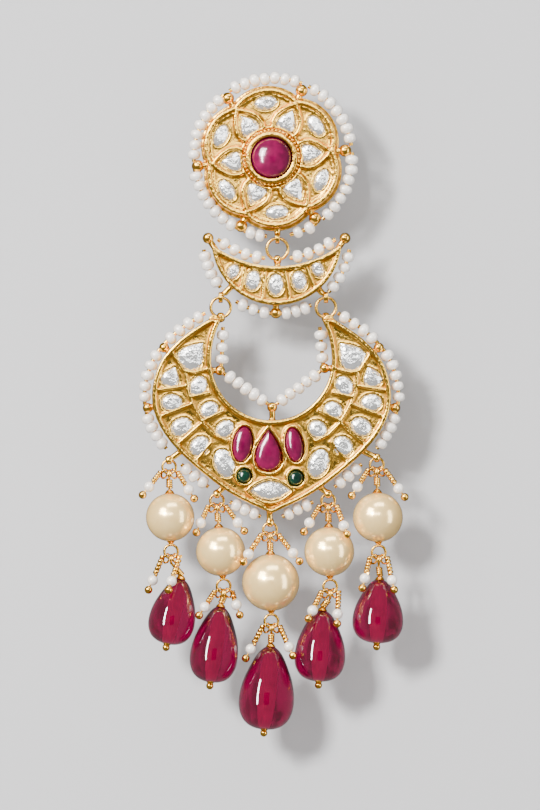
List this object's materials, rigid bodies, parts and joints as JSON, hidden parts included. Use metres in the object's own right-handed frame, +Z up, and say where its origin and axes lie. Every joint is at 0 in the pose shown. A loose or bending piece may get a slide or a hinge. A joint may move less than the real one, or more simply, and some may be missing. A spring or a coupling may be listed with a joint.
{
  "type": "chandbali earring",
  "caption": "Gold drop earring on an ear post: a stone-set flower over a crescent and a pierced crescent plate edged with seed pearls, with hanging pearl and red glass drops.",
  "frame": {"origin": "centre of the flower's back face, where the post enters the ear", "axes": "+Z up as the earring hangs, -Y to the front, +X to the right as seen from the front"},
  "size_m": [0.0366, 0.0156, 0.0899],
  "materials": {
    "gold": "satin",
    "white_stone": "gloss",
    "red_stone": "gloss",
    "green_stone": "gloss",
    "seed_pearl": "satin",
    "big_pearl": "gloss",
    "ruby_glass": "gloss"
  },
  "bodies": {
    "flower": {"flower_setting": "gold", "flower_ruby": "red_stone", "flower_stones_inner": "white_stone", "flower_stones_outer": "white_stone", "flower_pearls": "seed_pearl"},
    "crescent": {"hang_ring": "gold", "crescent_setting": "gold", "crescent_stones": "white_stone", "crescent_pearls": "seed_pearl"},
    "chand": {"side_ring_left": "gold", "side_ring_right": "gold", "chand_setting": "gold", "chand_stones_left": "white_stone", "chand_stones_right": "white_stone", "chand_marquise": "white_stone", "chand_ruby_left": "red_stone", "chand_ruby_centre": "red_stone", "chand_ruby_right": "red_stone", "chand_emerald_left": "green_stone", "chand_emerald_right": "green_stone", "chand_pearls_inner": "seed_pearl", "chand_pearls_outer_left": "seed_pearl", "chand_pearls_outer_right": "seed_pearl", "drop1_jump_ring": "gold", "drop1_big_pearl": "big_pearl", "drop1_eye_pin": "gold", "drop1_ruby": "ruby_glass", "drop1_head_pin": "gold", "drop1_dangle_pins": "gold", "drop1_dangle_pearls": "seed_pearl", "drop2_jump_ring": "gold", "drop2_big_pearl": "big_pearl", "drop2_eye_pin": "gold", "drop2_ruby": "ruby_glass", "drop2_head_pin": "gold", "drop2_dangle_pins": "gold", "drop2_dangle_pearls": "seed_pearl", "drop3_jump_ring": "gold", "drop3_big_pearl": "big_pearl", "drop3_eye_pin": "gold", "drop3_ruby": "ruby_glass", "drop3_head_pin": "gold", "drop3_dangle_pins": "gold", "drop3_dangle_pearls": "seed_pearl", "drop4_jump_ring": "gold", "drop4_big_pearl": "big_pearl", "drop4_eye_pin": "gold", "drop4_ruby": "ruby_glass", "drop4_head_pin": "gold", "drop4_dangle_pins": "gold", "drop4_dangle_pearls": "seed_pearl", "drop5_jump_ring": "gold", "drop5_big_pearl": "big_pearl", "drop5_eye_pin": "gold", "drop5_ruby": "ruby_glass", "drop5_head_pin": "gold", "drop5_dangle_pins": "gold", "drop5_dangle_pearls": "seed_pearl"}
  },
  "joints": [
    {"name": "crescent_swing", "type": "hinge", "parent": "flower", "child": "crescent", "pos_m": [0.0008, -0.0012, -0.01086], "axis": [-1, 0, 0], "range_deg": [-10, 60]},
    {"name": "chand_swing", "type": "hinge", "parent": "crescent", "child": "chand", "pos_m": [0, -0.0012, -0.0189], "axis": [-1, 0, 0], "range_deg": [-10, 60]}
  ]
}
